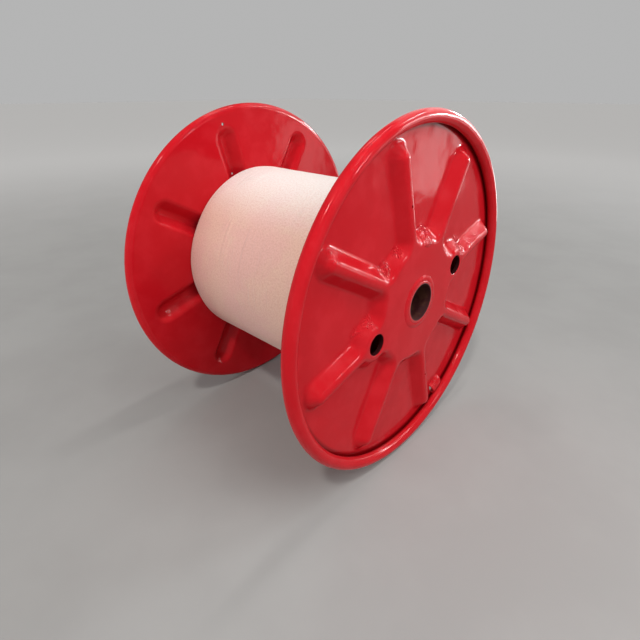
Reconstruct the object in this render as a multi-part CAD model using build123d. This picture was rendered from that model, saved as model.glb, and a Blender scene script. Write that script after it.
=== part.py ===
"""Pressed-steel cable drum, lying on its two curled rims.

Two pressed flanges face each other across a rolled barrel. An arbor tube runs through both hubs,
and a soft wrap covers the barrel between the flanges.

Millimetres, +Z up. The drum's axis runs along X. The origin is on the floor below its middle.
"""
from build123d import *
import math
import os

# Overall sizes. ROLL_ANGLE is how far the drum has rolled: the rise of its first rib from level.
FLANGE_DIAMETER = 630.0
FLANGE_SPACING = 402.0
SHEET = 3.0
ROLL_ANGLE = 15.6

# Curled rim of the flange
CURL_DIAMETER = 22.0
CURL_SWEEP = 300.0

# Star pressed out of the flange: a round hub with ribs. Its widths are those of the sharp crest.
# RIB_RIM_GAP is the web left between the sharp foot of a rib's tip and the curl.
STAR_HEIGHT = 19.0
STAR_SLOPE = 45.0
HUB_DIAMETER = 213.0
RIB_COUNT = 8
RIB_WIDTH = 12.0
RIB_RIM_GAP = 11.0
STAR_CORNER_RADIUS = 25.0
CREST_RADIUS = 13.0
FOOT_RADIUS = 9.0

# Drive holes through the hub, each in a pad that widens its rib, with a mouth that turns in to a lip
DRIVE_HOLE_COUNT = 2
DRIVE_HOLE_DIAMETER = 36.0
DRIVE_PITCH_DIAMETER = 254.0
DRIVE_PAD_WIDTH = 9.0
DRIVE_MOUTH_RADIUS = 2.0
DRIVE_LIP_DEPTH = 5.0

# Wire holes: one at the tip of a rib, and one just outside the barrel in that rib and in its opposite
WIRE_RIB = 2
TIP_HOLE_DIAMETER = 6.0
CREST_HOLE_DIAMETER = 5.0
CREST_HOLE_GAP = 5.0

# Cable outlet of the right flange: a hood pressed out of the web beside the curl, open at its mouth and
# from the flange's inner side
OUTLET_ANGLE = -81.6
OUTLET_RIM_GAP = 1.5
HOOD_LENGTH = 38.0
HOOD_WIDTH = 28.0
HOOD_HEIGHT = 11.0
HOOD_FOOT_RADIUS = 2.0

# Arbor tube and the weld round each end of it. WELD_SWELL is how far the weld's face bulges.
ARBOR_DIAMETER = 76.0
ARBOR_WALL = 5.0
ARBOR_PROUD = 2.5
ARBOR_EDGE_RADIUS = 1.0
WELD_WIDTH = 10.0
WELD_HEIGHT = 2.0
WELD_SWELL = 1.0

# Barrel and its wrap
BARREL_DIAMETER = 355.0
BARREL_WALL = 2.5
WRAP_THICKNESS = 6.5

# Clearances
TUBE_CLEARANCE = 0.2
WRAP_CLEARANCE = 0.3

# How near to its place an edge counts as found
FIND_TOLERANCE = 0.01

# Values that follow from the sizes above. Planes are distances from the drum's middle.
FLANGE_RADIUS = FLANGE_DIAMETER / 2
CURL_RADIUS = CURL_DIAMETER / 2
CURL_CENTRE_RADIUS = FLANGE_RADIUS - CURL_RADIUS
WEB_INNER = FLANGE_SPACING / 2
WEB_MIDDLE = WEB_INNER + SHEET / 2
WEB_OUTER = WEB_INNER + SHEET
CREST = WEB_OUTER + STAR_HEIGHT
STAR_RUN = STAR_HEIGHT / math.tan(math.radians(STAR_SLOPE))
RIB_TIP_RADIUS = FLANGE_RADIUS - CURL_DIAMETER - RIB_RIM_GAP - STAR_RUN
SKIN_SHIFT = math.tan(math.radians(STAR_SLOPE / 2))
DRIVE_HOLE_RADIUS = DRIVE_HOLE_DIAMETER / 2
HUB_BORE_RADIUS = ARBOR_DIAMETER / 2 + TUBE_CLEARANCE
ARBOR_LENGTH = 2 * (CREST + ARBOR_PROUD)

# Depth of the blocks that the sheet is the difference of, and length of the cutters that pass through it
BLOCK_DEPTH = 2 * STAR_HEIGHT
CUTTER_LENGTH = 4 * STAR_HEIGHT

# A flange is drawn flat, with its axis on Z and its outer face up. This stands it in its place.
DRUM_FRAME = Plane(origin=(0, 0, FLANGE_RADIUS), x_dir=(0, 1, 0), z_dir=(1, 0, 0))


def on_rib(number: float, radius: float) -> Location:
    """Place on the flat flange, at a radius in line with a rib."""
    return Rot(0, 0, ROLL_ANGLE + number * 360 / RIB_COUNT) * Pos(radius, 0)


def drive_places() -> list[Location]:
    """Places of the drive holes, in line with ribs and evenly round the hub."""
    step = RIB_COUNT / DRIVE_HOLE_COUNT
    return [on_rib(k * step, DRIVE_PITCH_DIAMETER / 2) for k in range(DRIVE_HOLE_COUNT)]


def star_plan(inset: float) -> Sketch:
    """Outline of the star, drawn inside its sharp crest by the given distance."""
    half_width = RIB_WIDTH / 2 - inset
    reach = RIB_TIP_RADIUS - RIB_WIDTH / 2
    plan = Circle(HUB_DIAMETER / 2 - inset)
    for k in range(RIB_COUNT):
        plan += on_rib(k, reach / 2) * Rectangle(reach, 2 * half_width)
        plan += on_rib(k, reach) * Circle(half_width)
    for place in drive_places():
        plan += place * Circle(DRIVE_HOLE_RADIUS + DRIVE_PAD_WIDTH - inset)
    roots = plan.vertices().filter_by(lambda v: math.hypot(v.X, v.Y) < reach - half_width)
    return fillet(roots, STAR_CORNER_RADIUS + inset)


def star_block(skin: float) -> Part:
    """Block with the pressed form on top: of the sheet's outer face, or with skin = SHEET the inner."""
    web = WEB_OUTER - skin
    foot_plan = star_plan(skin * SKIN_SHIFT - STAR_RUN)
    star = Pos(0, 0, web) * extrude(foot_plan, STAR_HEIGHT, taper=90 - STAR_SLOPE)
    block = star + Pos(0, 0, web) * extrude(Circle(CURL_CENTRE_RADIUS + skin), -BLOCK_DEPTH)
    crest_face = block.faces().filter_by(Plane.XY).sort_by(Axis.Z)[-1]
    block = fillet(crest_face.edges(), CREST_RADIUS - skin)
    web_face = block.faces().filter_by(Plane.XY).sort_by(Axis.Z)[-2]
    return fillet(web_face.inner_wires().edges(), FOOT_RADIUS + skin)


def curled_rim() -> Part:
    """Edge of the sheet, rolled outwards into an open tube."""
    centre = (CURL_CENTRE_RADIUS, WEB_INNER + CURL_RADIUS)
    outside = CenterArc(centre, CURL_RADIUS, -90, CURL_SWEEP)
    inside = CenterArc(centre, CURL_RADIUS - SHEET, -90, CURL_SWEEP)
    start = Line(outside @ 0, inside @ 0)
    end = Line(outside @ 1, inside @ 1)
    section = make_face(Curve() + [outside, inside, start, end])
    return revolve(Plane.XZ * section, Axis.Z)


def with_drive_holes(body: Part) -> Part:
    """Cut the drive holes in a flat flange, each with a lip of sheet turned in round it."""
    ring = Circle(DRIVE_HOLE_RADIUS + SHEET) - Circle(DRIVE_HOLE_RADIUS)
    lip = Pos(0, 0, CREST - SHEET / 2) * extrude(ring, -SHEET / 2 - DRIVE_LIP_DEPTH)
    for place in drive_places():
        body += place * lip
        body -= place * Pos(0, 0, CREST) * Cylinder(DRIVE_HOLE_RADIUS, CUTTER_LENGTH)
    mouths = body.edges().filter_by(GeomType.CIRCLE).filter_by(
        lambda e: abs(e.radius - DRIVE_HOLE_RADIUS) < FIND_TOLERANCE
        and abs(e.center().Z - CREST) < FIND_TOLERANCE)
    return fillet(mouths, DRIVE_MOUTH_RADIUS)


def with_wire_holes(body: Part) -> Part:
    """Drill the small holes that a flat flange has for tying down the cable's end."""
    tip_radius = RIB_TIP_RADIUS + STAR_RUN + RIB_RIM_GAP / 2
    tip_hole = Pos(0, 0, WEB_OUTER) * Cylinder(TIP_HOLE_DIAMETER / 2, CUTTER_LENGTH)
    body -= on_rib(WIRE_RIB, tip_radius) * tip_hole
    crest_hole = Pos(0, 0, CREST) * Cylinder(CREST_HOLE_DIAMETER / 2, CUTTER_LENGTH)
    for number in (WIRE_RIB, WIRE_RIB + RIB_COUNT / 2):
        body -= on_rib(number, BARREL_DIAMETER / 2 + CREST_HOLE_GAP) * crest_hole
    return body


def weld_ring() -> Part:
    """Fillet weld between the hub and the arbor tube, round-faced, with its root in the sheet."""
    foot = (HUB_BORE_RADIUS + WELD_WIDTH, CREST)
    crown = (HUB_BORE_RADIUS, CREST + WELD_HEIGHT)
    root = CREST - SHEET / 2
    face = SagittaArc(foot, crown, -WELD_SWELL)
    sides = Polyline(crown, (HUB_BORE_RADIUS, root), (HUB_BORE_RADIUS + WELD_WIDTH, root), foot)
    return revolve(Plane.XZ * make_face(Curve() + [face, sides]), Axis.Z)


def hood_form(inset: float) -> Part:
    """Round-backed hood from its mouth at Y = 0 to the ball at its closed end, drawn inset."""
    radius = ((HOOD_WIDTH / 2) ** 2 + HOOD_HEIGHT ** 2) / (2 * HOOD_HEIGHT)
    axis_height = WEB_OUTER + HOOD_HEIGHT - radius
    ball_place = HOOD_LENGTH - HOOD_WIDTH / 2
    back = Plane.XZ * Pos(0, axis_height) * Circle(radius - inset)
    ball = Pos(0, ball_place, axis_height) * Sphere(radius - inset)
    return Pos(0, ball_place, 0) * extrude(back, ball_place) + ball


def with_outlet(body: Part) -> Part:
    """Press the outlet's hood out of a flat flange, hollow from its mouth and from the inner side."""
    radius = FLANGE_RADIUS - CURL_DIAMETER - OUTLET_RIM_GAP - HOOD_WIDTH / 2
    place = Rot(0, 0, ROLL_ANGLE + OUTLET_ANGLE) * Pos(radius, 0)
    body = place.inverse() * body
    body += split(hood_form(0), bisect_by=Plane.XY.offset(WEB_MIDDLE), keep=Keep.TOP)
    foot = body.edges().filter_by(
        lambda e: abs(e.center().Z - WEB_OUTER) < FIND_TOLERANCE
        and abs(e.center().X) < HOOD_WIDTH
        and FIND_TOLERANCE < e.center().Y < HOOD_LENGTH + FIND_TOLERANCE)
    body = fillet(foot, HOOD_FOOT_RADIUS)
    return place * (body - hood_form(SHEET))


def flange() -> Part:
    """One pressed flange, flat, with its outer face up."""
    body = star_block(0) - star_block(SHEET) + curled_rim() + weld_ring()
    body = with_wire_holes(with_drive_holes(body))
    return body - Pos(0, 0, CREST) * Cylinder(HUB_BORE_RADIUS, CUTTER_LENGTH)


def tube(diameter: float, wall: float, length: float) -> Part:
    """Plain tube along Z, centred on the drum's middle."""
    return Cylinder(diameter / 2, length) - Cylinder(diameter / 2 - wall, length)


def arbor() -> Part:
    """Arbor tube, whose ends are rounded on the outside."""
    body = tube(ARBOR_DIAMETER, ARBOR_WALL, ARBOR_LENGTH)
    rims = body.edges().filter_by(GeomType.CIRCLE).filter_by(
        lambda e: abs(e.radius - ARBOR_DIAMETER / 2) < FIND_TOLERANCE)
    return fillet(rims, ARBOR_EDGE_RADIUS)


def main() -> None:
    """Build each piece in place and write it."""
    plain_flange = flange()
    wrap_diameter = BARREL_DIAMETER + 2 * (WRAP_CLEARANCE + WRAP_THICKNESS)
    pieces = {
        "right_flange": DRUM_FRAME * with_outlet(plain_flange),
        "left_flange": mirror(DRUM_FRAME * plain_flange, about=Plane.YZ),
        "arbor_tube": DRUM_FRAME * arbor(),
        "barrel": DRUM_FRAME * tube(BARREL_DIAMETER, BARREL_WALL, FLANGE_SPACING),
        "barrel_wrap": DRUM_FRAME * tube(wrap_diameter, WRAP_THICKNESS, FLANGE_SPACING),
    }
    os.makedirs("parts", exist_ok=True)
    for name, piece in pieces.items():
        piece.label = name
        export_step(piece, f"parts/{name}.step")
        print(name, "solids", len(piece.solids()), "volume", round(piece.volume))


if __name__ == "__main__":
    main()
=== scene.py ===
"""Steel cable drum with a wrapped barrel: its finishes, its wound wrap, the lamps and the camera.

Metres, +Z up. The drum lies with its axis along X, half a flange above the floor. The right flange
is the near one and faces +X. Angles are in degrees where nothing else is said.
"""
import logging
import math
from dataclasses import dataclass
from enum import Enum

import bpy
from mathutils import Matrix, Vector
from mathutils import noise as fractal


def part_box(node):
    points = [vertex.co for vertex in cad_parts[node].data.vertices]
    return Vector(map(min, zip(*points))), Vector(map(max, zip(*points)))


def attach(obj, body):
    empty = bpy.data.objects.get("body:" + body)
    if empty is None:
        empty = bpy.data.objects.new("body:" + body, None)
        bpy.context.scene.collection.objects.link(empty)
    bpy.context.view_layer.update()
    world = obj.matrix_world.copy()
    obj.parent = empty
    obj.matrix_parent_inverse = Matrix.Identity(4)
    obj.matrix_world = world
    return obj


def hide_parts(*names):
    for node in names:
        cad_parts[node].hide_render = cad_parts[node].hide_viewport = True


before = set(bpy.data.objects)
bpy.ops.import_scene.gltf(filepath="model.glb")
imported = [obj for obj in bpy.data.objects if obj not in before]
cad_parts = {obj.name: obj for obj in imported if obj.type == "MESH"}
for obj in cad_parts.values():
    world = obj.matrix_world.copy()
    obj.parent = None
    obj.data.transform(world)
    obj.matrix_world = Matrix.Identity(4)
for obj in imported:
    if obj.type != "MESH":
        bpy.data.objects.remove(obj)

LOG = logging.getLogger("cable_drum")
Node = bpy.types.Node
Socket = bpy.types.NodeSocket
Colour = tuple[float, float, float]
Feed = float | tuple | Socket

# From a web's inner face to the outer face of its hub: the sheet and the height of the star.
CREST_RISE = 0.0220
# What a noise is on average.
MEAN_NOISE = 0.5
# A Mix node's sockets where it mixes colours.
MIX_MASK, MIX_FIRST, MIX_SECOND, MIX_RESULT = 0, 6, 7, 2


class Maths(Enum):
    """Sums that a Math node can do, by what they are used for here."""

    ADD = "ADD"
    TAKE = "SUBTRACT"
    TIMES = "MULTIPLY"
    LARGER = "MAXIMUM"
    SIZE = "ABSOLUTE"
    SINE = "SINE"
    ROOT = "SQRT"
    TURN = "ARCTAN2"


class Held(Enum):
    """How a soft sheet is held."""

    STRETCHED = "stretched"


class Glow(Enum):
    """The colours of the lamps."""

    WHITE = (1.0, 1.0, 1.0)
    ROOF = (1.0, 0.99, 0.97)
    WINDOW = (0.93, 0.97, 1.0)
    PANEL = (1.0, 0.98, 0.97)
    LOW_PANEL = (1.0, 0.98, 0.96)
    FRONT = (1.0, 0.97, 0.93)
    SKY = (1.0, 0.99, 0.98)


class End(Enum):
    """Which end of the wrap a swelling grows towards."""

    BOTH = "both"
    LEFT = "left"
    RIGHT = "right"


@dataclass(frozen=True)
class Noise:
    """The grain of a noise.

    Attributes:
        scale: Cells per metre.
        detail: How many finer layers it has.
        rough: How strong those layers are.
        warp: How far it is distorted.
    """

    scale: float
    detail: float = 2.0
    rough: float = 0.5
    warp: float = 0.0


@dataclass(frozen=True)
class Band:
    """Where a soft mask is 0 and where it is 1. The mask falls where zero is the larger."""

    zero: float
    one: float

    def at(self, place: float) -> "Band":
        """Move a band that is measured from a place, such as a radius, to that place."""
        return Band(place + self.zero, place + self.one)


@dataclass(frozen=True)
class DrumAxis:
    """Where the drum's axis lies and how far its parts reach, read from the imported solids.

    Attributes:
        height: The axis above the floor.
        web_inner: A web's inner face, from the middle of the drum.
        crest: A hub's outer face, from the middle.
        tube_end: The arbor tube's end, from the middle.
    """

    height: float
    web_inner: float
    crest: float
    tube_end: float

    @classmethod
    def read(cls) -> "DrumAxis":
        """Read the places from the boxes of the nodes.

        Returns:
            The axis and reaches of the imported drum.
        """
        low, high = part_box("right_flange")
        tube_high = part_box("arbor_tube")[1]
        barrel_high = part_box("barrel")[1]
        return cls(
            height=(low.z + high.z) / 2,
            web_inner=barrel_high.x,
            crest=barrel_high.x + CREST_RISE,
            tube_end=tube_high.x,
        )


class Graph:
    """Places nodes in one node tree and joins them up."""

    def __init__(self, tree: bpy.types.NodeTree) -> None:
        """Start on a material's, the world's or a group's tree."""
        self.tree = tree

    def node(self, kind: str, **settings: object) -> Node:
        """Add one node.

        Args:
            kind: The node's type name.
            settings: Properties to set on it.

        Returns:
            The new node.
        """
        made = self.tree.nodes.new(kind)
        for name, value in settings.items():
            setattr(made, name, value)
        return made

    def feed(self, socket: Socket, source: Feed) -> None:
        """Set a socket to a value, or join another socket to it.

        Args:
            socket: The input to fill.
            source: A plain value or an output.
        """
        if isinstance(source, Socket):
            self.tree.links.new(source, socket)
        else:
            socket.default_value = source

    def sum(self, how: Maths, first: Feed, second: Feed = 0.0, clamp: bool = False) -> Socket:
        """Work one sum.

        Args:
            how: Which sum.
            first: The first value.
            second: The second value.
            clamp: Whether the result stays between 0 and 1.

        Returns:
            The result.
        """
        made = self.node("ShaderNodeMath", operation=how.value, use_clamp=clamp)
        self.feed(made.inputs[0], first)
        self.feed(made.inputs[1], second)
        return made.outputs[0]

    def times(self, *values: Feed, clamp: bool = False) -> Socket:
        """Multiply two or more values, and clamp the product where that is asked."""
        return self._chain(Maths.TIMES, values, clamp)

    def plus(self, *values: Feed, clamp: bool = False) -> Socket:
        """Add two or more values, and clamp the total where that is asked."""
        return self._chain(Maths.ADD, values, clamp)

    def _chain(self, how: Maths, values: tuple[Feed, ...], clamp: bool) -> Socket:
        """Work a sum over several values, from the first to the last.

        Args:
            how: Which sum.
            values: Two or more values.
            clamp: Whether the last result stays between 0 and 1.

        Returns:
            The last result.
        """
        *early, last = values
        total = early[0]
        for value in early[1:]:
            total = self.sum(how, total, value)
        return self.sum(how, total, last, clamp)

    def distance(self, first: Feed, second: Feed) -> Socket:
        """Give the distance that two legs at right angles span."""
        square = self.plus(self.times(first, first), self.times(second, second))
        return self.sum(Maths.ROOT, square)

    def rise(self, value: Feed, band: Band) -> Socket:
        """Turn a value into a soft mask.

        Args:
            value: The value to look at.
            band: Where the mask is 0 and where it is 1.

        Returns:
            The mask.
        """
        made = self.node("ShaderNodeMapRange", interpolation_type="SMOOTHSTEP")
        self.feed(made.inputs["Value"], value)
        falls = band.zero > band.one
        made.inputs["From Min"].default_value = min(band.zero, band.one)
        made.inputs["From Max"].default_value = max(band.zero, band.one)
        made.inputs["To Min"].default_value = 1.0 if falls else 0.0
        made.inputs["To Max"].default_value = 0.0 if falls else 1.0
        return made.outputs["Result"]

    def cloud(self, place: Feed, grain: Noise) -> Socket:
        """Add a noise.

        Args:
            place: Coordinates in metres.
            grain: The noise's grain.

        Returns:
            The noise's value.
        """
        made = self.node("ShaderNodeTexNoise")
        self.feed(made.inputs["Vector"], place)
        made.inputs["Scale"].default_value = grain.scale
        made.inputs["Detail"].default_value = grain.detail
        made.inputs["Roughness"].default_value = grain.rough
        made.inputs["Distortion"].default_value = grain.warp
        return made.outputs["Fac"]

    def patches(self, place: Feed, grain: Noise, band: Band) -> Socket:
        """Turn a noise into the mask of soft patches."""
        return self.rise(self.cloud(place, grain), band)

    def tint(self, mask: Feed, first: Feed, second: Feed) -> Socket:
        """Mix two colours.

        Args:
            mask: How much of the second colour shows.
            first: The colour where the mask is 0, plain or from a node.
            second: The colour where the mask is 1, plain or from a node.

        Returns:
            The mixed colour.
        """
        made = self.node("ShaderNodeMix", data_type="RGBA")
        self.feed(made.inputs[MIX_MASK], mask)
        for place, colour in ((MIX_FIRST, first), (MIX_SECOND, second)):
            self.feed(made.inputs[place], opaque(colour) if isinstance(colour, tuple) else colour)
        return made.outputs[MIX_RESULT]

    def level(self, mask: Feed, first: float, second: float) -> Socket:
        """Slide from the first plain value to the second as the mask goes from 0 to 1."""
        return self.plus(self.times(mask, second - first), first)

    def stretch(self, place: Feed, share: tuple[float, float, float]) -> Socket:
        """Stretch a vector along each of its axes.

        Args:
            place: The vector.
            share: How many times longer each of its numbers gets.

        Returns:
            The stretched vector.
        """
        made = self.node("ShaderNodeVectorMath", operation="MULTIPLY")
        self.feed(made.inputs[0], place)
        made.inputs[1].default_value = share
        return made.outputs[0]

    def apart(self, place: Feed) -> tuple[Socket, ...]:
        """Split a vector.

        Args:
            place: The vector.

        Returns:
            Its three numbers.
        """
        made = self.node("ShaderNodeSeparateXYZ")
        self.feed(made.inputs[0], place)
        return tuple(made.outputs)

    def group(self, tree: bpy.types.NodeTree, **inputs: Feed) -> Node:
        """Place a shared effect.

        Args:
            tree: The node group.
            inputs: Its inputs, with an underscore for each space in a name.

        Returns:
            The group node.
        """
        made = self.node("ShaderNodeGroup")
        made.node_tree = tree
        for name, source in inputs.items():
            self.feed(made.inputs[name.replace("_", " ")], source)
        return made


def opaque(colour: Colour) -> tuple[float, float, float, float]:
    """Give a colour an alpha of 1."""
    return (*colour, 1.0)


def direction(azimuth: float, elevation: float) -> Vector:
    """Turn two angles into a direction.

    Args:
        azimuth: Degrees from +X towards +Y.
        elevation: Degrees above the floor.

    Returns:
        The direction, one metre long.
    """
    turn, lift = math.radians(azimuth), math.radians(elevation)
    level = math.cos(lift)
    return Vector((level * math.cos(turn), level * math.sin(turn), math.sin(lift)))


@dataclass
class SharedEffects:
    """Node groups that more than one finish uses, each built once."""

    axis: DrumAxis
    sheet_wave: Noise = Noise(13.0, 2.5, 0.45)
    spray_peel: Noise = Noise(330.0, 1.0, 0.4)
    thin_coat: Noise = Noise(24.0, 4.0, 0.6)
    thin_band: Band = Band(0.42, 0.68)
    dust_facing: Band = Band(0.15, 0.95)
    dust_patch: Noise = Noise(46.0, 5.0, 0.65, 0.4)
    dust_patch_band: Band = Band(0.40, 0.72)
    dust_speck: Noise = Noise(620.0, 2.0, 0.5)
    dust_speck_band: Band = Band(0.60, 0.70)

    def __post_init__(self) -> None:
        """Build the groups."""
        self.place = self._drum_place()
        self.skin = self._sprayed_skin()
        self.dust = self._dust_film()

    @staticmethod
    def _open(name: str, values: list[str], outputs: list[str]) -> tuple[Graph, dict, dict]:
        """Start a group that takes a place and plain values.

        Args:
            name: The group's name.
            values: The names of its plain inputs.
            outputs: The names of its outputs, all plain values.

        Returns:
            The group's graph, its inputs' sockets and its outputs' sockets by name.
        """
        tree = bpy.data.node_groups.new(name, "ShaderNodeTree")
        tree.interface.new_socket("Place", in_out="INPUT", socket_type="NodeSocketVector")
        for way, labels in (("INPUT", values), ("OUTPUT", outputs)):
            for label in labels:
                tree.interface.new_socket(label, in_out=way, socket_type="NodeSocketFloat")
        graph = Graph(tree)
        source = graph.node("NodeGroupInput")
        target = graph.node("NodeGroupOutput")
        return graph, {s.name: s for s in source.outputs}, {s.name: s for s in target.inputs}

    def _drum_place(self) -> bpy.types.NodeTree:
        """Build the group that gives a point's place on the drum.

        Returns:
            A group with the radius and the angle round the axis and the distance from the middle.
        """
        graph, given, out = self._open("drum_place", [], ["Radius", "Angle", "Across"])
        x, y, z = graph.apart(given["Place"])
        up = graph.sum(Maths.TAKE, z, self.axis.height)
        graph.feed(out["Radius"], graph.distance(y, up))
        graph.feed(out["Angle"], graph.sum(Maths.TURN, up, y))
        graph.feed(out["Across"], graph.sum(Maths.SIZE, x))
        return graph.tree

    def _sprayed_skin(self) -> bpy.types.NodeTree:
        """Build the group for a sprayed coat on pressed sheet.

        Returns:
            A group with the height of the sheet's waves and the spray's peel, and thin coat's mask.
        """
        graph, given, out = self._open("sprayed_skin", ["Wave", "Peel"], ["Height", "Thin"])
        place = given["Place"]
        wave = graph.times(graph.cloud(place, self.sheet_wave), given["Wave"])
        peel = graph.times(graph.cloud(place, self.spray_peel), given["Peel"])
        graph.feed(out["Height"], graph.plus(wave, peel))
        graph.feed(out["Thin"], graph.patches(place, self.thin_coat, self.thin_band))
        return graph.tree

    def _dust_film(self) -> bpy.types.NodeTree:
        """Build the group for workshop dust that has settled on what faces up.

        Returns:
            A group with the dust's mask.
        """
        graph, given, out = self._open("dust_film", ["Amount"], ["Mask"])
        facing = graph.apart(graph.node("ShaderNodeNewGeometry").outputs["Normal"])[2]
        lying = graph.rise(facing, self.dust_facing)
        patches = graph.patches(given["Place"], self.dust_patch, self.dust_patch_band)
        specks = graph.patches(given["Place"], self.dust_speck, self.dust_speck_band)
        spread = graph.plus(patches, specks, clamp=True)
        graph.feed(out["Mask"], graph.times(lying, spread, given["Amount"], clamp=True))
        return graph.tree


class Finish:
    """What every finish shares: a material with its Principled shader."""

    @staticmethod
    def start(name: str) -> tuple[bpy.types.Material, Graph, Node, Socket]:
        """Start a material.

        Args:
            name: The material's name.

        Returns:
            The material, its graph, its shader and the Object coordinates.
        """
        material = bpy.data.materials.new(name)
        material.use_nodes = True
        graph = Graph(material.node_tree)
        shader = material.node_tree.nodes["Principled BSDF"]
        place = graph.node("ShaderNodeTexCoord").outputs["Object"]
        return material, graph, shader, place

    @staticmethod
    def cover(graph: Graph, shader: Node, colour: Socket, dull: Socket, height: Socket) -> None:
        """Give a shader its colour, its roughness and its relief at full strength.

        Args:
            graph: The material's graph.
            shader: The Principled shader.
            colour: The colour.
            dull: The roughness.
            height: The relief's height in metres.
        """
        graph.feed(shader.inputs["Base Color"], colour)
        graph.feed(shader.inputs["Roughness"], dull)
        bump = graph.node("ShaderNodeBump")
        bump.inputs["Strength"].default_value = 1.0
        bump.inputs["Distance"].default_value = 1.0
        graph.feed(bump.inputs["Height"], height)
        graph.feed(shader.inputs["Normal"], bump.outputs["Normal"])


@dataclass(frozen=True)
class Pucker:
    """A crumpled spot in the sheet of a flange.

    Attributes:
        angle: Where it is round the axis, from +Y towards +Z.
        radius: How far it is from the axis.
        reach: How far it spreads.
        strength: How deep it is, with 1 for the deepest.
    """

    angle: float
    radius: float
    reach: float
    strength: float


@dataclass(frozen=True)
class FlangeEnamel(Finish):
    """Gloss enamel sprayed over a pressed flange, with its puckers and the ripples of its weld.

    Each band is measured from what it follows: hole_wall from the radius of a drive hole,
    joint_inner and joint_outer from the joint's radius, joint_depth and joint_face from the web's
    inner face, weld_face from the hub's outer face and weld_bead from the middle of the weld.
    """

    name: str = "red_enamel_on_flange"
    colour: Colour = (0.550, 0.0082, 0.0150)
    thin_colour: Colour = (0.585, 0.0125, 0.0205)
    dust_colour: Colour = (0.62, 0.36, 0.34)
    roughness: float = 0.10
    thin_roughness: float = 0.06
    gloss: float = 0.14
    wave: float = 0.0024
    peel: float = 0.00003
    dust: float = 0.03
    puckers: tuple[Pucker, ...] = (
        Pucker(84.0, 0.116, 0.022, 1.0), Pucker(138.0, 0.128, 0.016, 1.0),
        Pucker(121.0, 0.122, 0.012, 0.7), Pucker(25.0, 0.158, 0.022, 1.0),
        Pucker(177.0, 0.133, 0.015, 0.55), Pucker(181.5, 0.160, 0.014, 0.45),
        Pucker(-7.0, 0.118, 0.014, 0.6), Pucker(-98.0, 0.120, 0.014, 0.5),
        Pucker(148.0, 0.262, 0.014, 0.35), Pucker(104.0, 0.262, 0.012, 0.3),
        Pucker(17.0, 0.195, 0.018, 0.2), Pucker(16.5, 0.225, 0.018, 0.2),
        Pucker(-63.5, 0.274, 0.022, 0.6),
    )
    pucker_core: float = 0.5
    pucker_height: float = 0.0085
    pucker_fold: Noise = Noise(95.0, 1.0, 0.4, 1.3)
    joint_radius: float = 0.293
    joint_inner: Band = Band(-0.009, 0.0)
    joint_outer: Band = Band(0.012, 0.008)
    joint_depth: Band = Band(0.0115, 0.0060)
    joint_face: Band = Band(0.0015, 0.0028)
    # Painted shade: the dark colour of the joint between web and curled rim.
    joint_shade_colour: Colour = (0.210, 0.0010, 0.0030)
    # Painted shade: the near-black colour of the walls of the drive holes.
    primer: Colour = (0.030, 0.006, 0.007)
    hole_angle: float = 15.6
    hole_place: float = 0.127
    hole_radius: float = 0.018
    hole_wall: Band = Band(0.0006, 0.0001)
    weld_radius: float = 0.0430
    weld_bead: Band = Band(0.0055, 0.0025)
    weld_face: Band = Band(-0.001, 0.0)
    weld_ripples: int = 31
    weld_height: float = 0.00010
    weld_wander: float = 9.0
    weld_noise: Noise = Noise(70.0, 3.0)

    def material(self, effects: SharedEffects) -> bpy.types.Material:
        """Build the material.

        Args:
            effects: The shared node groups.

        Returns:
            The enamel.
        """
        material, graph, shader, place = self.start(self.name)
        skin = graph.group(effects.skin, Place=place, Wave=self.wave, Peel=self.peel)
        spot = graph.group(effects.place, Place=place)
        dust = graph.group(effects.dust, Place=place, Amount=self.dust).outputs["Mask"]
        thin = skin.outputs["Thin"]
        puckered = self._crumpled(graph, place, effects.axis)
        fold = graph.sum(Maths.TAKE, graph.cloud(place, self.pucker_fold), MEAN_NOISE)
        fold = graph.times(puckered, graph.sum(Maths.SIZE, fold), self.pucker_height)
        weld = self._weld(graph, spot, place, effects.axis)
        joint = self._curl_joint_shade(graph, spot, effects.axis)
        # Painted shade: the mask of the walls of the drive holes, which are coloured near black.
        bare = self._hole_wall_shade(graph, place, effects.axis)
        coat = graph.tint(thin, self.colour, self.thin_colour)
        coat = graph.tint(dust, coat, self.dust_colour)
        # Painted shade in the joint between web and curled rim.
        coat = graph.tint(joint, coat, self.joint_shade_colour)
        # Painted shade on the walls of the drive holes.
        coat = graph.tint(bare, coat, self.primer)
        dull = graph.times(thin, self.thin_roughness)
        dull = graph.plus(dull, dust, self.roughness, clamp=True)
        height = graph.plus(skin.outputs["Height"], fold, weld)
        self.cover(graph, shader, coat, dull, height)
        shader.inputs["Specular IOR Level"].default_value = self.gloss
        return material

    def _hole_wall_shade(self, graph: Graph, place: Feed, axis: DrumAxis) -> Socket:
        """Find the walls of the drive holes, which are coloured near black as painted shade.

        Args:
            graph: The material's graph.
            place: Object coordinates.
            axis: The drum's axis.

        Returns:
            The mask of the painted shade on the walls.
        """
        turn = math.radians(self.hole_angle)
        _, y, z = graph.apart(place)
        up = graph.sum(Maths.TAKE, z, axis.height)
        along = graph.plus(graph.times(y, math.cos(turn)), graph.times(up, math.sin(turn)))
        aside = graph.sum(Maths.TAKE, graph.times(up, math.cos(turn)),
                          graph.times(y, math.sin(turn)))
        out = graph.sum(Maths.TAKE, graph.sum(Maths.SIZE, along), self.hole_place)
        return graph.rise(graph.distance(out, aside), self.hole_wall.at(self.hole_radius))

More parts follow.
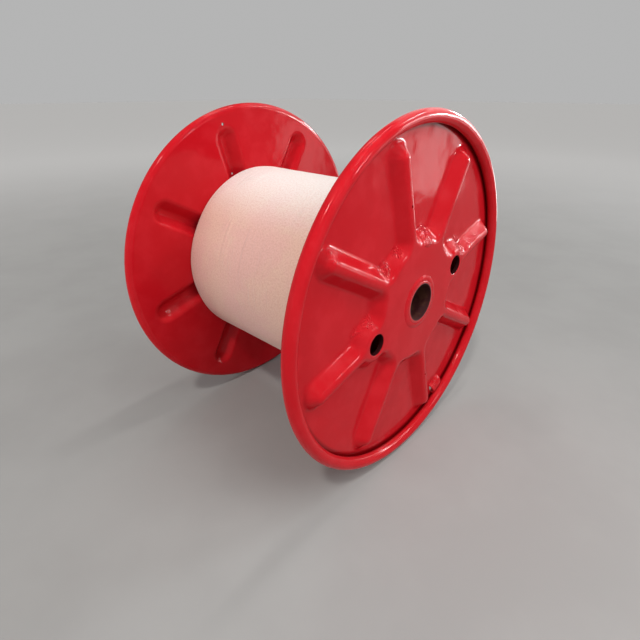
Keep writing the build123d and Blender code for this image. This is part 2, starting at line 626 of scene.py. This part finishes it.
    def _curl_joint_shade(self, graph: Graph, spot: Node, axis: DrumAxis) -> Socket:
        """Find the narrow joint between web and curled rim, where the coat is painted dark as
        painted shade under the curl.

        Args:
            graph: The material's graph.
            spot: The drum_place group node.
            axis: The drum's axis.

        Returns:
            The mask of the painted shade in the joint.
        """
        radius, across = spot.outputs["Radius"], spot.outputs["Across"]
        inner = graph.rise(radius, self.joint_inner.at(self.joint_radius))
        outer = graph.rise(radius, self.joint_outer.at(self.joint_radius))
        low = graph.rise(across, self.joint_depth.at(axis.web_inner))
        outside = graph.rise(across, self.joint_face.at(axis.web_inner))
        return graph.times(inner, outer, low, outside)

    def _crumpled(self, graph: Graph, place: Feed, axis: DrumAxis) -> Socket:
        """Find the puckers: between the ribs, by the drive holes, at the tips and at the outlet.

        Args:
            graph: The material's graph.
            place: Object coordinates.
            axis: The drum's axis.

        Returns:
            How strong the puckers are.
        """
        _, y, z = graph.apart(place)
        flat = graph.node("ShaderNodeCombineXYZ")
        graph.feed(flat.inputs["Y"], y)
        graph.feed(flat.inputs["Z"], z)
        near: Feed = 0.0
        for pucker in self.puckers:
            turn = math.radians(pucker.angle)
            side, up = pucker.radius * math.cos(turn), pucker.radius * math.sin(turn)
            off = graph.node("ShaderNodeVectorMath", operation="DISTANCE")
            graph.feed(off.inputs[0], flat.outputs[0])
            off.inputs[1].default_value = (0.0, side, axis.height + up)
            band = Band(pucker.reach, pucker.reach * self.pucker_core)
            spot = graph.rise(off.outputs["Value"], band)
            near = graph.sum(Maths.LARGER, near, graph.times(spot, pucker.strength))
        return near

    def _weld(self, graph: Graph, spot: Node, place: Feed, axis: DrumAxis) -> Socket:
        """Ripple the weld round the arbor tube.

        Args:
            graph: The material's graph.
            spot: The drum_place group node.
            place: Object coordinates.
            axis: The drum's axis.

        Returns:
            The height of the ripples.
        """
        off = graph.sum(Maths.TAKE, spot.outputs["Radius"], self.weld_radius)
        off = graph.sum(Maths.SIZE, off)
        outside = graph.rise(spot.outputs["Across"], self.weld_face.at(axis.crest))
        bead = graph.times(graph.rise(off, self.weld_bead), outside)
        wander = graph.times(graph.cloud(place, self.weld_noise), self.weld_wander)
        turn = graph.times(spot.outputs["Angle"], float(self.weld_ripples))
        ripple = graph.sum(Maths.SINE, graph.plus(turn, wander))
        return graph.times(ripple, self.weld_height, bead)


@dataclass(frozen=True)
class TubeEnamel(Finish):
    """Enamel on the arbor tube, whose end is worn bare and whose bore is dark primer.

    bore_band and lip_band are measured from the bore's radius, and end_band from the tube's end.
    """

    name: str = "arbor_tube_enamel"
    colour: Colour = (0.560, 0.0085, 0.0165)
    bare: Colour = (0.26, 0.15, 0.13)
    primer: Colour = (0.050, 0.010, 0.012)
    rust: Colour = (0.085, 0.030, 0.018)
    wave: float = 0.0003
    peel: float = 0.00004
    blotch: Noise = Noise(70.0, 5.0, 0.6)
    blotch_band: Band = Band(0.42, 0.62)
    bore_radius: float = 0.033
    bore_band: Band = Band(0.0016, 0.0004)
    end_band: Band = Band(-0.0006, -0.0001)
    lip_band: Band = Band(0.0024, 0.0)
    least_rubbed: float = 0.55
    bare_metal: float = 0.3
    roughness: float = 0.28
    bare_roughness: float = 0.50
    grit: Noise = Noise(500.0, 3.0, 0.6)
    grit_height: float = 0.00006

    def material(self, effects: SharedEffects) -> bpy.types.Material:
        """Build the material.

        Args:
            effects: The shared node groups.

        Returns:
            The tube's finish.
        """
        material, graph, shader, place = self.start(self.name)
        skin = graph.group(effects.skin, Place=place, Wave=self.wave, Peel=self.peel)
        spot = graph.group(effects.place, Place=place)
        radius, across = spot.outputs["Radius"], spot.outputs["Across"]
        blotch = graph.patches(place, self.blotch, self.blotch_band)
        inside = graph.rise(radius, self.bore_band.at(self.bore_radius))
        end = graph.rise(across, self.end_band.at(effects.axis.tube_end))
        lip = graph.rise(radius, self.lip_band.at(self.bore_radius))
        rubbed = graph.times(end, lip, graph.level(blotch, self.least_rubbed, 1.0))
        coat = graph.tint(rubbed, self.colour, self.bare)
        bore = graph.tint(blotch, self.primer, self.rust)
        unpainted = graph.sum(Maths.LARGER, rubbed, inside)
        dull = graph.level(unpainted, self.roughness, self.bare_roughness)
        grit = graph.times(graph.cloud(place, self.grit), self.grit_height)
        height = graph.plus(skin.outputs["Height"], grit)
        self.cover(graph, shader, graph.tint(inside, coat, bore), dull, height)
        graph.feed(shader.inputs["Metallic"], graph.times(rubbed, self.bare_metal))
        return material


@dataclass(frozen=True)
class BarrelEnamel(Finish):
    """Thinner enamel on the rolled barrel, which the wrap hides outside."""

    name: str = "enamel_on_barrel"
    colour: Colour = (0.520, 0.0100, 0.0180)
    scuffed: Colour = (0.36, 0.030, 0.032)
    wave: float = 0.0008
    peel: float = 0.00005
    scuff: Noise = Noise(34.0, 6.0, 0.7, 0.8)
    scuff_band: Band = Band(0.52, 0.66)
    roughness: float = 0.34
    scuffed_roughness: float = 0.50
    coat_weight: float = 0.4
    coat_roughness: float = 0.08

    def material(self, effects: SharedEffects) -> bpy.types.Material:
        """Build the material.

        Args:
            effects: The shared node groups.

        Returns:
            The barrel's finish.
        """
        material, graph, shader, place = self.start(self.name)
        skin = graph.group(effects.skin, Place=place, Wave=self.wave, Peel=self.peel)
        scuff = graph.patches(place, self.scuff, self.scuff_band)
        coat = graph.tint(scuff, self.colour, self.scuffed)
        dull = graph.level(scuff, self.roughness, self.scuffed_roughness)
        self.cover(graph, shader, coat, dull, skin.outputs["Height"])
        shader.inputs["Coat Weight"].default_value = self.coat_weight
        shader.inputs["Coat Roughness"].default_value = self.coat_roughness
        return material


@dataclass(frozen=True)
class WrapCloth(Finish):
    """Pale woven sheet: plain weave, with slubs, faint stains and creases.

    The pattern reads the sheet's own UV map, and the painted light, which makes the top and the
    right end paler, reads Object coordinates. A field of two values holds the one where its mask is
    0 and the one where it is 1.

    Attributes:
        width: Width of the flat sheet.
        length: Length of the flat sheet.
        painted_light_up: Heights between which the top gets paler, as painted light.
        painted_light_right: Places along the axis between which the right end gets paler, as
            painted light.
        painted_light_right_share: How much paler that end gets.
        gap_shade: How dark the gaps between threads are, by the speckle.
        speckle_shade: How dark the speckle itself is.
        shade_kept: How much of that shade is left, less where the light is painted.
        crease_cells: Cells per metre across and along the sheet that draw the creases.
    """

    width: float
    length: float
    name: str = "wrap_cloth"
    colour: Colour = (0.79, 0.530, 0.425)
    stain: Colour = (0.785, 0.475, 0.420)
    # Painted light: the pale colour that the top and the right end of the wrap get.
    painted_light_colour: Colour = (0.92, 0.885, 0.850)
    gap_colour: Colour = (0.62, 0.33, 0.25)
    clean_patch: Noise = Noise(9.0, 5.0, 0.65, 0.5)
    clean_band: Band = Band(0.40, 0.60)
    speckle: Noise = Noise(300.0, 3.0, 0.65)
    speckle_band: Band = Band(0.38, 0.66)
    # Painted light: where the top and the right end of the wrap get paler.
    painted_light_up: Band = Band(0.42, 0.515)
    painted_light_right: Band = Band(0.09, 0.19)
    painted_light_right_share: float = 0.35
    gap_shade: tuple[float, float] = (0.05, 0.45)
    speckle_shade: float = 0.22
    shade_kept: tuple[float, float] = (1.0, 0.45)
    thread_pitch: float = 0.0016
    weave_depth: float = 0.00022
    slub: Noise = Noise(260.0, 3.0, 0.6)
    slub_height: float = 0.00030
    slub_roughness: tuple[float, float] = (0.58, 0.72)
    ripple: Noise = Noise(38.0, 3.0, 0.55)
    ripple_height: float = 0.0011
    crease_cells: tuple[float, float, float] = (110.0, 7.0, 1.0)
    crease: Noise = Noise(1.0, 2.0, 0.5, 0.4)
    crease_band: Band = Band(0.35, 0.70)
    crease_patch: Noise = Noise(7.0, 2.0, 0.5)
    crease_patch_band: Band = Band(0.42, 0.62)
    crease_height: float = 0.0013
    gloss: float = 0.45
    sheen: float = 0.35
    sheen_roughness: float = 0.45

    def material(self) -> bpy.types.Material:
        """Build the material.

        Returns:
            The cloth.
        """
        material, graph, shader, place = self.start(self.name)
        flat = self._flat_place(graph)
        weave = graph.times(self._threads(graph, flat, 0), self._threads(graph, flat, 1))
        slub = graph.cloud(flat, self.slub)
        colour = self._colour(graph, flat, place, weave)
        dull = graph.level(slub, *self.slub_roughness)
        threads = graph.times(weave, self.weave_depth)
        fuzz = graph.times(slub, self.slub_height)
        ripple = graph.times(graph.cloud(flat, self.ripple), self.ripple_height)
        height = graph.plus(threads, fuzz, ripple, self._creases(graph, flat))
        self.cover(graph, shader, colour, dull, height)
        shader.inputs["Specular IOR Level"].default_value = self.gloss
        shader.inputs["Sheen Weight"].default_value = self.sheen
        shader.inputs["Sheen Roughness"].default_value = self.sheen_roughness
        return material

    def _flat_place(self, graph: Graph) -> Socket:
        """Give the place on the sheet as it was cut, as a vector in metres."""
        sheet_map = graph.node("ShaderNodeUVMap", uv_map="UVMap").outputs["UV"]
        return graph.stretch(sheet_map, (self.width, self.length, 1.0))

    def _colour(self, graph: Graph, flat: Feed, place: Feed, weave: Feed) -> Socket:
        """Colour the cloth: stained in places, paler at the top and the right end as painted light,
        darker between the threads.

        Args:
            graph: The material's graph.
            flat: The place on the flat sheet.
            place: Object coordinates.
            weave: The height of the threads, from 0 to 1.

        Returns:
            The colour.
        """
        fresh = graph.patches(flat, self.clean_patch, self.clean_band)
        speckle = graph.patches(flat, self.speckle, self.speckle_band)
        across, _, up = graph.apart(place)
        # Painted light: the top and the right end of the wrap are made paler.
        right = graph.rise(across, self.painted_light_right)
        right = graph.times(right, self.painted_light_right_share)
        lit = graph.plus(graph.rise(up, self.painted_light_up), right, clamp=True)
        clean = graph.tint(fresh, self.stain, self.colour)
        clean = graph.tint(lit, clean, self.painted_light_colour)
        gaps = graph.sum(Maths.TAKE, 1.0, weave)
        grain = graph.times(gaps, graph.level(speckle, *self.gap_shade))
        dots = graph.times(speckle, self.speckle_shade)
        shade = graph.plus(grain, dots, clamp=True)
        # Painted light also thins the darkening between the threads where the top and the right end
        # are paler.
        shade = graph.times(shade, graph.level(lit, *self.shade_kept))
        return graph.tint(shade, clean, self.gap_colour)

    def _creases(self, graph: Graph, flat: Feed) -> Socket:
        """Draw the faint creases that run round the barrel where the sheet was pulled tight.

        Args:
            graph: The material's graph.
            flat: The place on the flat sheet.

        Returns:
            The height of the creases.
        """
        drawn = graph.stretch(flat, self.crease_cells)
        lines = graph.patches(drawn, self.crease, self.crease_band)
        where = graph.patches(flat, self.crease_patch, self.crease_patch_band)
        return graph.times(lines, where, self.crease_height)

    def _threads(self, graph: Graph, flat: Feed, way: int) -> Socket:
        """Draw the rounded backs of one set of threads.

        Args:
            graph: The material's graph.
            flat: The place on the flat sheet.
            way: 0 for the threads across the sheet and 1 for those along it.

        Returns:
            A height from 0 between the threads to 1 on their backs.
        """
        number = graph.apart(flat)[way]
        wave = graph.sum(Maths.SINE, graph.times(number, math.tau / self.thread_pitch))
        return graph.plus(graph.times(wave, 0.5), 0.5)


@dataclass(frozen=True)
class FloorPaint(Finish):
    """Plain pale floor with a very faint mottle, paler towards the horizon and without gloss."""

    name: str = "studio_floor"
    colour: Colour = (0.350, 0.346, 0.340)
    patch: Colour = (0.330, 0.326, 0.320)
    far_colour: Colour = (0.70, 0.70, 0.70)
    mottle: Noise = Noise(3.0, 4.0, 0.6)
    mottle_band: Band = Band(0.35, 0.65)
    far_band: Band = Band(0.8, 5.0)
    roughness: float = 0.75
    gloss: float = 0.0

    def material(self) -> bpy.types.Material:
        """Build the material.

        Returns:
            The floor's paint.
        """
        material, graph, shader, place = self.start(self.name)
        mottle = graph.patches(place, self.mottle, self.mottle_band)
        near = graph.tint(mottle, self.colour, self.patch)
        x, y, _ = graph.apart(place)
        far = graph.rise(graph.distance(x, y), self.far_band)
        graph.feed(shader.inputs["Base Color"], graph.tint(far, near, self.far_colour))
        shader.inputs["Roughness"].default_value = self.roughness
        shader.inputs["Specular IOR Level"].default_value = self.gloss
        return material


@dataclass
class SteelWork:
    """The flanges, the barrel and the arbor tube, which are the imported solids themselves."""

    flange_finish: FlangeEnamel
    tube_finish: TubeEnamel
    barrel_finish: BarrelEnamel

    def dress(self, effects: SharedEffects) -> None:
        """Give each steel node its finish.

        Args:
            effects: The shared node groups.
        """
        flange = self.flange_finish.material(effects)
        finishes = {
            "right_flange": flange,
            "left_flange": flange,
            "arbor_tube": self.tube_finish.material(effects),
            "barrel": self.barrel_finish.material(effects),
        }
        for node, material in finishes.items():
            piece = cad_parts[node]
            for slot in piece.material_slots:
                slot.material = material
            LOG.info("%s: finish %s", node, material.name)


@dataclass(frozen=True)
class Lobe:
    """A soft swelling of the wrap's outside, or a hollow where its height is below 0.

    Attributes:
        height: How far it stands out in its middle.
        middle: Where its middle is round the axis, from +Y towards +Z.
        reach: The angle over which it dies away.
        end: The end of the wrap that it grows towards.
    """

    height: float
    middle: float
    reach: float
    end: End = End.BOTH

    def at(self, angle: float, leftward: float) -> float:
        """Say how far the lobe lifts a point.

        Args:
            angle: Angle round the axis, in radians.
            leftward: From 0 at the wrap's right end to 1 at its left end.

        Returns:
            The distance, in metres.
        """
        share = {End.BOTH: 1.0, End.LEFT: leftward, End.RIGHT: 1 - leftward}[self.end]
        off = (angle - math.radians(self.middle) + math.pi) % math.tau - math.pi
        return self.height * share * math.exp(-(off / math.radians(self.reach)) ** 2)


@dataclass(frozen=True)
class Folds:
    """Small folds of the wrap, drawn by a noise.

    Attributes:
        height: How far they stand up.
        across: Cells per metre along the axis.
        around: Cells per radian round it.
        layer: The layer of the noise that they are cut from.
    """

    height: float
    across: float
    around: float
    layer: float

    def at(self, angle: float, x: float) -> float:
        """Say how far the folds lift a point, from its angle in radians and its x."""
        spot = Vector((x * self.across, angle * self.around, self.layer))
        return self.height * fractal.noise(spot)


@dataclass
class BarrelWrap:
    """The soft sheet wound round the barrel, with its free edge low at the back.

    Attributes:
        pitch: How far a turn lies outside the one below it.
        lift: The gap between the barrel and the first turn.
        end_gap: The gap between the sheet's sides and the webs.
        uneven_cells: Cells of the unevenness, per metre of the axis and per radius round it.
        crumple: The folds of one crumpled spot, whose crumple_arc is in radians.
        side_reach: How wide the sheet's sides turn down.
        side_sink: How far they do.
    """

    axis: DrumAxis
    barrel_radius: float = 0.1775
    thickness: float = 0.0029
    pitch: float = 0.00315
    turns: float = 2.0
    lift: float = 0.0003
    end_gap: float = 0.0008
    free_edge_angle: float = -38.0
    lobes: tuple[Lobe, ...] = (
        Lobe(0.0030, 80, 42, End.LEFT), Lobe(-0.0016, 75, 40, End.RIGHT), Lobe(0.0014, 173, 16),
        Lobe(-0.0018, 151, 9), Lobe(-0.0026, -160, 14), Lobe(-0.0022, -130, 22),
    )
    uneven_cells: tuple[float, float] = (9.0, 2.2)
    uneven_height: float = 0.0006
    fine: Folds = Folds(0.00035, 45.0, 7.0, 11.0)
    crumple: Folds = Folds(0.0009, 110.0, 5.0, 3.7)
    crumple_x: float = -0.005
    crumple_width: float = 0.05
    crumple_angle: float = -142.0
    crumple_arc: float = 0.32
    side_reach: float = 0.014
    side_sink: float = 0.0016
    rim_width: float = 0.0009
    rim_steps: int = 2
    sharp_angle: float = 50.0
    columns: int = 80
    rows_per_turn: int = 150

    @property
    def width(self) -> float:
        """Give the sheet's width, just under the space between the flanges."""
        return 2 * (self.axis.web_inner - self.end_gap)

    @property
    def length(self) -> float:
        """Give the sheet's length: the way round at its mean radius, times its turns."""
        mean = self.barrel_radius + self.pitch * self.turns / 2
        return math.tau * mean * self.turns

    def _swell(self, angle: float, x: float) -> float:
        """Say how far the outside stands off a true round.

        Args:
            angle: Angle round the axis, in radians from +Y towards +Z.
            x: Place along the axis.

        Returns:
            The distance, in metres.
        """
        leftward = 0.5 - x / self.width
        swell = sum(lobe.at(angle, leftward) for lobe in self.lobes)
        along, round_it = self.uneven_cells
        spot = Vector((x * along, math.cos(angle) * round_it, math.sin(angle) * round_it))
        return swell + self.uneven_height * fractal.noise(spot)

    def _crease(self, angle: float, x: float) -> float:
        """Say how far the small folds stand up.

        Args:
            angle: Angle round the axis, in radians from +Y towards +Z.
            x: Place along the axis.

        Returns:
            The distance, in metres.
        """
        along = (x - self.crumple_x) / self.crumple_width
        around = (angle - math.radians(self.crumple_angle)) / self.crumple_arc
        crumpled = math.exp(-along ** 2 - around ** 2)
        return crumpled * self.crumple.at(angle, x) + self.fine.at(angle, x)

    def _place(self, across: float, along: float) -> Vector:
        """Wind one point of the flat sheet onto the barrel.

        Args:
            across: From 0 at the left edge to 1 at the right edge.
            along: From 0 at the inner end to 1 at the free edge.

        Returns:
            The point's place.
        """
        x = (across - 0.5) * self.width
        turned = along * self.turns
        angle = math.radians(self.free_edge_angle) + math.tau * (self.turns - turned)
        angle = (angle + math.pi) % math.tau - math.pi
        side = max(0.0, 1 - (self.width / 2 - abs(x)) / self.side_reach)
        radius = self.barrel_radius + self.lift + self.thickness + self.pitch * turned
        radius += along ** 2 * (self._swell(angle, x) + self._crease(angle, x))
        radius -= along * self.side_sink * side ** 2
        return Vector((x, radius * math.cos(angle), self.axis.height + radius * math.sin(angle)))

    def build(self) -> bpy.types.Object:
        """Wind the sheet and give it its thickness, which goes inwards.

        Returns:
            The wound sheet.
        """
        bpy.ops.object.select_all(action="DESELECT")
        bpy.ops.mesh.primitive_grid_add(
            x_subdivisions=self.columns, y_subdivisions=int(self.rows_per_turn * self.turns),
            size=1.0)
        piece = bpy.context.object
        piece.name = piece.data.name = "wound_wrap"
        for vertex in piece.data.vertices:
            vertex.co = self._place(vertex.co.x + 0.5, vertex.co.y + 0.5)
        wall = piece.modifiers.new("sheet", "SOLIDIFY")
        wall.thickness = self.thickness
        wall.offset = -1.0
        bpy.ops.object.modifier_apply(modifier=wall.name)
        edge = piece.modifiers.new("soft_edge", "BEVEL")
        edge.width = self.rim_width
        edge.segments = self.rim_steps
        edge.limit_method = "ANGLE"
        edge.angle_limit = math.radians(self.sharp_angle)
        bpy.ops.object.modifier_apply(modifier=edge.name)
        bpy.ops.object.shade_smooth_by_angle(angle=math.radians(self.sharp_angle))
        return piece

    def finish(self, piece: bpy.types.Object) -> None:
        """Dress the sheet and say what it is.

        Args:
            piece: The wound sheet.
        """
        piece.data.materials.clear()
        piece.data.materials.append(WrapCloth(width=self.width, length=self.length).material())
        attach(piece, "root")
        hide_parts("barrel_wrap")
        LOG.info("wound_wrap: %.3f by %.3f m in %.1f turns", self.width, self.length, self.turns)


@dataclass(frozen=True)
class Lamp:
    """A softbox that looks at the middle of the drum.

    Attributes:
        azimuth: Where it hangs round the drum, from +X towards +Y.
        elevation: The angle at which it hangs above the drum's middle.
        distance: How far it is from that middle.
        size: Its two sides.
        power: Its power in watts.
        roll: How far it is turned about the line to the drum.
        diffuse: Whether it lights surfaces.
        glossy: Whether it shows in gloss.
    """

    name: str
    azimuth: float
    elevation: float
    distance: float
    size: tuple[float, float]
    power: float
    colour: Glow = Glow.WHITE
    roll: float = 0.0
    diffuse: bool = True
    glossy: bool = True

    def build(self, target: Vector) -> None:
        """Hang the lamp.

        Args:
            target: The point that it looks at.
        """
        way = direction(self.azimuth, self.elevation)
        data = bpy.data.lights.new(self.name, "AREA")
        data.shape = "RECTANGLE"
        data.size, data.size_y = self.size
        data.energy = self.power
        data.color = self.colour.value
        lamp = bpy.data.objects.new(self.name, data)
        lamp.location = target + way * self.distance
        lamp.rotation_euler = way.to_track_quat("Z", "Y").to_matrix().to_euler()
        lamp.rotation_euler.rotate_axis("Z", math.radians(self.roll))
        lamp.visible_diffuse = self.diffuse
        lamp.visible_glossy = self.glossy
        lamp.visible_camera = False
        bpy.context.scene.collection.objects.link(lamp)


@dataclass(frozen=True)
class FarLamp:
    """A lamp so far off that it lights the whole floor evenly.

    Attributes:
        azimuth: Where its light comes from, from +X towards +Y.
        elevation: The angle of its light above the floor.
        breadth: The angle that it spans, seen from the drum.
        strength: Its strength in watts per square metre.
    """

    name: str
    azimuth: float
    elevation: float
    breadth: float
    strength: float
    colour: Glow = Glow.WHITE

    def build(self) -> None:
        """Hang the lamp."""
        way = direction(self.azimuth, self.elevation)
        data = bpy.data.lights.new(self.name, "SUN")
        data.angle = math.radians(self.breadth)
        data.energy = self.strength
        data.color = self.colour.value
        lamp = bpy.data.objects.new(self.name, data)
        lamp.rotation_euler = way.to_track_quat("Z", "Y").to_euler()
        bpy.context.scene.collection.objects.link(lamp)


@dataclass
class Studio:
    """Floor, world, lamps and camera.

    Attributes:
        shade: The world's light on what faces away from fill_way.
        fill: Its light on what faces it.
        fill_band: How far towards fill_way the shade ends and the fill is full.
        horizon: What the camera sees beyond the floor, and what gloss mirrors there.
        ceiling: What gloss mirrors higher up.
        ceiling_band: How high up that starts and is full.
        nearest: The nearest point that the camera sees.
    """

    axis: DrumAxis
    floor_size: float = 60.0
    shade: float = 0.12
    fill: float = 0.58
    fill_way: tuple[float, float, float] = (0.62, -0.20, 0.76)
    fill_band: Band = Band(-0.3, 1.0)
    horizon: Colour = (0.46, 0.46, 0.46)
    ceiling: Colour = (0.10, 0.10, 0.10)
    ceiling_band: Band = Band(0.10, 0.45)
    camera_place: tuple[float, float, float] = (0.57823, -0.64304, 0.65227)
    camera_tilt: float = 66.75
    camera_turn: float = 42.52
    lens: float = 25.49
    sensor: float = 36.0
    shift: tuple[float, float] = (-0.0008, -0.0539)
    nearest: float = 0.01
    lamps: tuple[Lamp, ...] = (
        Lamp("roof_lamp", 76, 76, 3.5, (0.08, 1.20), 17.5, Glow.ROOF, roll=20),
        Lamp("roof_lamp_left", 150, 62, 3.5, (0.08, 0.90), 7.0, Glow.ROOF, roll=60),
        Lamp("roof_lamp_right", -5, 66, 3.5, (0.06, 0.90), 4.0, Glow.ROOF, roll=-30),
        Lamp("window", 57, 37, 3.6, (0.80, 0.14), 18.0, Glow.WINDOW),
        Lamp("window_glow", 60, 40, 3.6, (1.2, 0.6), 5.0, Glow.WINDOW, glossy=False),
        Lamp("pale_panel", 54, 1, 1.60, (0.24, 0.30), 0.7, Glow.LOW_PANEL, diffuse=False),
        Lamp("high_panel", 62, 14, 1.80, (0.90, 0.30), 8.0, Glow.PANEL, diffuse=False),
        Lamp("side_panel", 85, -2, 1.64, (0.70, 0.35), 3.0, Glow.LOW_PANEL, diffuse=False),
        Lamp("back_panel", 72, 24, 1.90, (1.60, 1.30), 12.0, Glow.PANEL, diffuse=False),
        Lamp("top_panel", 82, 50, 1.90, (1.80, 0.80), 6.5, Glow.PANEL, diffuse=False),
        Lamp("far_panel", 114, 28, 1.90, (1.40, 0.90), 2.4, Glow.PANEL, diffuse=False),
        Lamp("low_spark", 58, 12, 2.20, (0.22, 0.22), 14.0, diffuse=False),
        Lamp("left_spark", 20, 24, 2.20, (0.22, 0.22), 6.0, diffuse=False),
        Lamp("far_spark", 92, 22, 2.20, (0.22, 0.22), 14.0, diffuse=False),
        Lamp("near_fill", -6, 38, 1.40, (0.8, 0.8), 7.4, glossy=False),
        Lamp("low_fill", -108, 10, 2.40, (2.4, 0.9), 17.0, glossy=False),
    )
    front_lamp: FarLamp = FarLamp("front_lamp", -67, 57, 5.0, 0.90, Glow.FRONT)

    def build(self) -> None:
        """Build the studio round the drum."""
        self._floor()
        self._world()
        middle = Vector((0.0, 0.0, self.axis.height))
        for lamp in self.lamps:
            lamp.build(middle)
        self.front_lamp.build()
        self._camera()
        LOG.info("studio: %d lamps", len(self.lamps) + 1)

    def _floor(self) -> None:
        """Lay the floor under the drum."""
        bpy.ops.object.select_all(action="DESELECT")
        bpy.ops.mesh.primitive_plane_add(size=self.floor_size)
        floor = bpy.context.object
        floor.name = "studio_floor"
        floor.data.materials.append(FloorPaint().material())

    def _world(self) -> None:
        """Set a soft world that lights the drum more from fill_way.

        The camera and gloss see it pale at the horizon, and gloss sees it darker overhead.
        """
        world = bpy.data.worlds.new("studio_world")
        bpy.context.scene.world = world
        world.use_nodes = True
        graph = Graph(world.node_tree)
        world.node_tree.nodes.clear()
        ray = graph.node("ShaderNodeLightPath").outputs
        gloss = graph.sum(Maths.LARGER, ray["Is Camera Ray"], ray["Is Glossy Ray"])
        shows = graph.sum(Maths.LARGER, gloss, ray["Is Transmission Ray"])
        light = graph.node("ShaderNodeBackground")
        light.inputs["Color"].default_value = opaque(Glow.SKY.value)
        pale = graph.node("ShaderNodeBackground")
        way = graph.node("ShaderNodeTexCoord").outputs["Generated"]
        towards = graph.node("ShaderNodeVectorMath", operation="DOT_PRODUCT")
        graph.feed(towards.inputs[0], way)
        towards.inputs[1].default_value = self.fill_way
        lit = graph.rise(towards.outputs["Value"], self.fill_band)
        graph.feed(light.inputs["Strength"], graph.level(lit, self.shade, self.fill))
        up = graph.rise(graph.apart(way)[2], self.ceiling_band)
        up = graph.times(up, ray["Is Glossy Ray"])
        seen = graph.tint(up, self.horizon, self.ceiling)
        graph.feed(pale.inputs["Color"], seen)
        mixed = graph.node("ShaderNodeMixShader")
        graph.feed(mixed.inputs[0], shows)
        graph.feed(mixed.inputs[1], light.outputs[0])
        graph.feed(mixed.inputs[2], pale.outputs[0])
        graph.feed(graph.node("ShaderNodeOutputWorld").inputs["Surface"], mixed.outputs[0])

    def _camera(self) -> None:
        """Stand the camera where the photograph was taken from."""
        data = bpy.data.cameras.new("camera")
        data.sensor_width = self.sensor
        data.lens = self.lens
        data.shift_x, data.shift_y = self.shift
        data.clip_start = self.nearest
        camera = bpy.data.objects.new("camera", data)
        camera.location = self.camera_place
        tilt, turn = math.radians(self.camera_tilt), math.radians(self.camera_turn)
        camera.rotation_euler = (tilt, 0.0, turn)
        bpy.context.scene.collection.objects.link(camera)
        bpy.context.scene.camera = camera


def main() -> None:
    """Dress the drum, wind its wrap and set the studio."""
    logging.basicConfig(level=logging.INFO, format="%(name)s: %(message)s")
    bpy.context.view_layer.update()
    axis = DrumAxis.read()
    effects = SharedEffects(axis)
    SteelWork(FlangeEnamel(), TubeEnamel(), BarrelEnamel()).dress(effects)
    wrap = BarrelWrap(axis)
    wrap.finish(wrap.build())
    Studio(axis).build()
    bpy.context.scene.view_settings.view_transform = "Standard"


if __name__ == "__main__":
    main()
